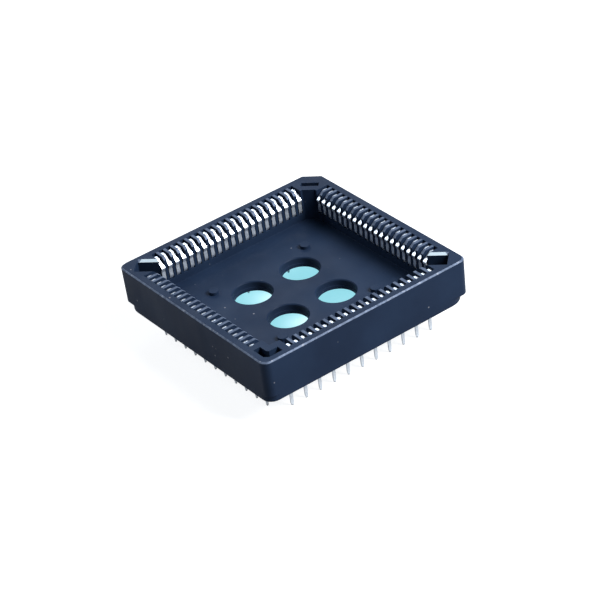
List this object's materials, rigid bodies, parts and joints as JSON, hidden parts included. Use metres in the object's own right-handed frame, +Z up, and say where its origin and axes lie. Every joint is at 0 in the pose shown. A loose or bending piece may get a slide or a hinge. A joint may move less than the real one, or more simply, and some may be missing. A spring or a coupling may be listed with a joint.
{
  "type": "ic socket",
  "caption": "Square through-hole socket for a leaded chip carrier, with spring contacts along all four sides, an index corner and two extraction slots.",
  "frame": {"origin": "centre of the square body, on the board face that the stand-off feet sit on", "axes": "+Z up out of the board, +X and +Y towards the two sides that meet at the chamfered index corner"},
  "size_m": [0.0364, 0.0364, 0.0112],
  "materials": {
    "housing": "satin",
    "contacts": "satin"
  },
  "bodies": {
    "root": {"housing": "housing", "front_pair_1": "contacts", "front_pair_2": "contacts", "front_pair_3": "contacts", "front_pair_4": "contacts", "front_pair_5": "contacts", "front_pair_6": "contacts", "front_pair_7": "contacts", "front_pair_8": "contacts", "front_pair_9": "contacts", "front_pair_10": "contacts", "right_pair_1": "contacts", "right_pair_2": "contacts", "right_pair_3": "contacts", "right_pair_4": "contacts", "right_pair_5": "contacts", "right_pair_6": "contacts", "right_pair_7": "contacts", "right_pair_8": "contacts", "right_pair_9": "contacts", "right_pair_10": "contacts", "back_pair_1": "contacts", "back_pair_2": "contacts", "back_pair_3": "contacts", "back_pair_4": "contacts", "back_pair_5": "contacts", "back_pair_6": "contacts", "back_pair_7": "contacts", "back_pair_8": "contacts", "back_pair_9": "contacts", "back_pair_10": "contacts", "left_pair_1": "contacts", "left_pair_2": "contacts", "left_pair_3": "contacts", "left_pair_4": "contacts", "left_pair_5": "contacts", "left_pair_6": "contacts", "left_pair_7": "contacts", "left_pair_8": "contacts", "left_pair_9": "contacts", "left_pair_10": "contacts", "front_end_contact": "contacts", "right_end_contact": "contacts", "back_end_contact": "contacts", "left_end_contact": "contacts"}
  },
  "joints": []
}
